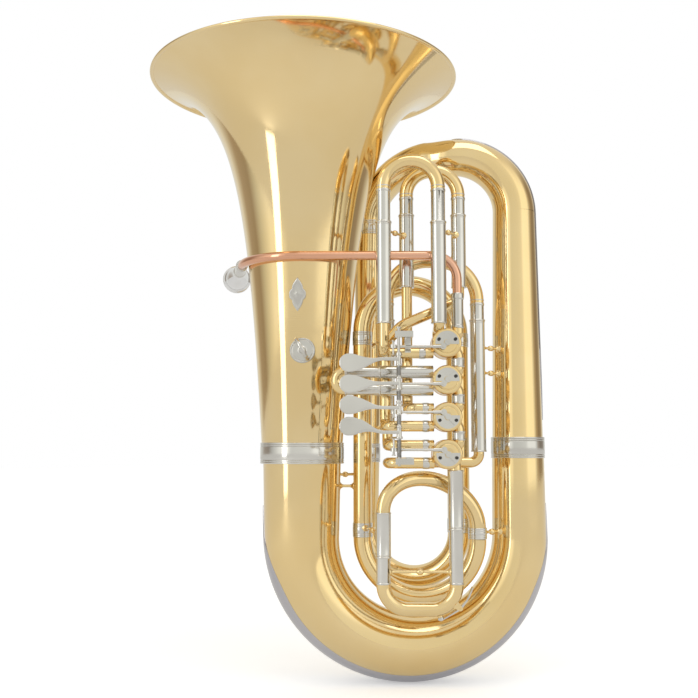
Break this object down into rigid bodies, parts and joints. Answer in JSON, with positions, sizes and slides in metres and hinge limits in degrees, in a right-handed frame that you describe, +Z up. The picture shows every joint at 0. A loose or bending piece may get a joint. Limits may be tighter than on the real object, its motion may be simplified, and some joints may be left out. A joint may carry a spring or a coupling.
{
  "type": "four valve rotary tuba",
  "caption": "Upright rotary-valve tuba with a wide flared bell, nested bows, nickel tuning slides, finger levers, a water key and a removable mouthpiece.",
  "frame": {"origin": "lowest point of the bottom bow, midway between the bell axis and the outer branch axis", "axes": "+Z up along the bell, -Y toward the side that carries the valves, +X from the bell to the outer branch"},
  "size_m": [0.5812, 0.456, 0.8796],
  "materials": {
    "lacquered_brass": "clear lacquer over polished yellow brass",
    "nickel_silver": "polished nickel silver",
    "guard_nickel": "polished nickel guard sheet",
    "raw_brass": "turned brass",
    "red_brass": "clear lacquer over gold brass",
    "silver_plate": "silver plate",
    "dark_steel": "oiled spring steel",
    "black_rubber": "moulded bumper"
  },
  "bodies": {
    "root": {"bell": "lacquered_brass", "bell_rim_wire": "lacquered_brass", "ferrules": "nickel_silver", "bottom_bow": "lacquered_brass", "bottom_bow_guard": "guard_nickel", "outer_branch": "lacquered_brass", "top_bow": "lacquered_brass", "top_bow_guard": "guard_nickel", "inner_branch": "lacquered_brass", "back_bottom_bow": "lacquered_brass", "back_branch": "lacquered_brass", "inner_top_bow": "lacquered_brass", "front_branch": "lacquered_brass", "inner_bottom_bow": "lacquered_brass", "tuning_bow": "lacquered_brass", "tuning_sleeves": "nickel_silver", "leadpipe": "red_brass", "mouthpiece_receiver": "nickel_silver", "inlet_tube": "nickel_silver", "knuckles": "lacquered_brass", "valve_casings": "lacquered_brass", "valve_caps": "lacquered_brass", "valve_back_caps": "lacquered_brass", "cork_plates": "nickel_silver", "cork_bumpers": "black_rubber", "lever_springs": "dark_steel", "hinge_rod": "nickel_silver", "hinge_brackets": "nickel_silver", "loop_1": "lacquered_brass", "loop_2": "nickel_silver", "loop_3": "lacquered_brass", "loop_4": "lacquered_brass", "braces": "lacquered_brass", "badge": "nickel_silver", "strap_plate": "nickel_silver", "strap_ring": "nickel_silver"},
    "tuning_slide": {"tuning_slide": "lacquered_brass", "water_key_saddle": "lacquered_brass"},
    "water_key": {"water_key": "nickel_silver"},
    "mouthpiece": {"mouthpiece": "silver_plate"},
    "rotor_1": {"rotor_1": "raw_brass", "stop_arm_1": "nickel_silver"},
    "link_1": {"link_1": "nickel_silver"},
    "lever_1": {"lever_1": "nickel_silver"},
    "slide_1": {"slide_1": "lacquered_brass"},
    "rotor_2": {"rotor_2": "raw_brass", "stop_arm_2": "nickel_silver"},
    "link_2": {"link_2": "nickel_silver"},
    "lever_2": {"lever_2": "nickel_silver"},
    "slide_2": {"slide_2": "lacquered_brass"},
    "rotor_3": {"rotor_3": "raw_brass", "stop_arm_3": "nickel_silver"},
    "link_3": {"link_3": "nickel_silver"},
    "lever_3": {"lever_3": "nickel_silver"},
    "slide_3": {"slide_3": "lacquered_brass"},
    "rotor_4": {"rotor_4": "raw_brass", "stop_arm_4": "nickel_silver"},
    "link_4": {"link_4": "nickel_silver"},
    "lever_4": {"lever_4": "nickel_silver"},
    "slide_4": {"slide_4": "lacquered_brass"}
  },
  "joints": [
    {"name": "lever_1", "type": "hinge", "parent": "root", "child": "lever_1", "pos_m": [-0.023, -0.14372, 0.446], "axis": [0, 0, -1], "range_deg": [0, 33], "stiffness_Nm_per_rad": 0.06, "springref_deg": -28.65},
    {"name": "rotor_1", "type": "hinge", "parent": "root", "child": "rotor_1", "pos_m": [0.044, -0.09, 0.471], "axis": [0, -1, 0], "range_deg": [0, 90]},
    {"name": "link_1", "type": "hinge", "parent": "rotor_1", "child": "link_1", "pos_m": [0.03781, -0.12238, 0.46481], "axis": [0, 1, 0], "range_deg": [0, 90]},
    {"name": "lever_2", "type": "hinge", "parent": "root", "child": "lever_2", "pos_m": [-0.023, -0.14372, 0.414], "axis": [0, 0, -1], "range_deg": [0, 33], "stiffness_Nm_per_rad": 0.06, "springref_deg": -28.65},
    {"name": "rotor_2", "type": "hinge", "parent": "root", "child": "rotor_2", "pos_m": [0.044, -0.09, 0.421], "axis": [0, -1, 0], "range_deg": [0, 90]},
    {"name": "link_2", "type": "hinge", "parent": "rotor_2", "child": "link_2", "pos_m": [0.03781, -0.12238, 0.41481], "axis": [0, 1, 0], "range_deg": [0, 90]},
    {"name": "lever_3", "type": "hinge", "parent": "root", "child": "lever_3", "pos_m": [-0.023, -0.14372, 0.382], "axis": [0, 0, -1], "range_deg": [0, 33], "stiffness_Nm_per_rad": 0.06, "springref_deg": -28.65},
    {"name": "rotor_3", "type": "hinge", "parent": "root", "child": "rotor_3", "pos_m": [0.044, -0.09, 0.371], "axis": [0, 1, 0], "range_deg": [0, 90]},
    {"name": "link_3", "type": "hinge", "parent": "rotor_3", "child": "link_3", "pos_m": [0.03781, -0.12238, 0.37719], "axis": [0, -1, 0], "range_deg": [0, 90]},
    {"name": "lever_4", "type": "hinge", "parent": "root", "child": "lever_4", "pos_m": [-0.023, -0.14372, 0.35], "axis": [0, 0, -1], "range_deg": [0, 33], "stiffness_Nm_per_rad": 0.06, "springref_deg": -28.65},
    {"name": "rotor_4", "type": "hinge", "parent": "root", "child": "rotor_4", "pos_m": [0.044, -0.09, 0.321], "axis": [0, 1, 0], "range_deg": [0, 90]},
    {"name": "link_4", "type": "hinge", "parent": "rotor_4", "child": "link_4", "pos_m": [0.03781, -0.12238, 0.32719], "axis": [0, -1, 0], "range_deg": [0, 90]},
    {"name": "slide_1", "type": "slide", "parent": "root", "child": "slide_1", "axis": [0, 0, 1], "range_m": [0, 0.08]},
    {"name": "slide_2", "type": "slide", "parent": "root", "child": "slide_2", "axis": [-1, 0, 0], "range_m": [0, 0.03]},
    {"name": "slide_3", "type": "slide", "parent": "root", "child": "slide_3", "axis": [0, 0, 1], "range_m": [0, 0.06]},
    {"name": "slide_4", "type": "slide", "parent": "root", "child": "slide_4", "axis": [0, 0, 1], "range_m": [0, 0.08]},
    {"name": "tuning_slide", "type": "slide", "parent": "root", "child": "tuning_slide", "axis": [0, 0, -1], "range_m": [0, 0.05]},
    {"name": "mouthpiece", "type": "slide", "parent": "root", "child": "mouthpiece", "axis": [-0.1736, 0.9848, 0], "range_m": [0, 0.03]},
    {"name": "water_key", "type": "hinge", "parent": "tuning_slide", "child": "water_key", "pos_m": [0.06023, -0.09, 0.11626], "axis": [0, -1, 0], "range_deg": [0, 14], "stiffness_Nm_per_rad": 0.03, "springref_deg": -28.65}
  ],
  "couplings": [
    {"joint": "rotor_1", "follows": "lever_1", "ratio": 2.7272},
    {"joint": "link_1", "follows": "lever_1", "ratio": 2.7272},
    {"joint": "rotor_2", "follows": "lever_2", "ratio": 2.7272},
    {"joint": "link_2", "follows": "lever_2", "ratio": 2.7272},
    {"joint": "rotor_3", "follows": "lever_3", "ratio": 2.7272},
    {"joint": "link_3", "follows": "lever_3", "ratio": 2.7272},
    {"joint": "rotor_4", "follows": "lever_4", "ratio": 2.7272},
    {"joint": "link_4", "follows": "lever_4", "ratio": 2.7272}
  ]
}
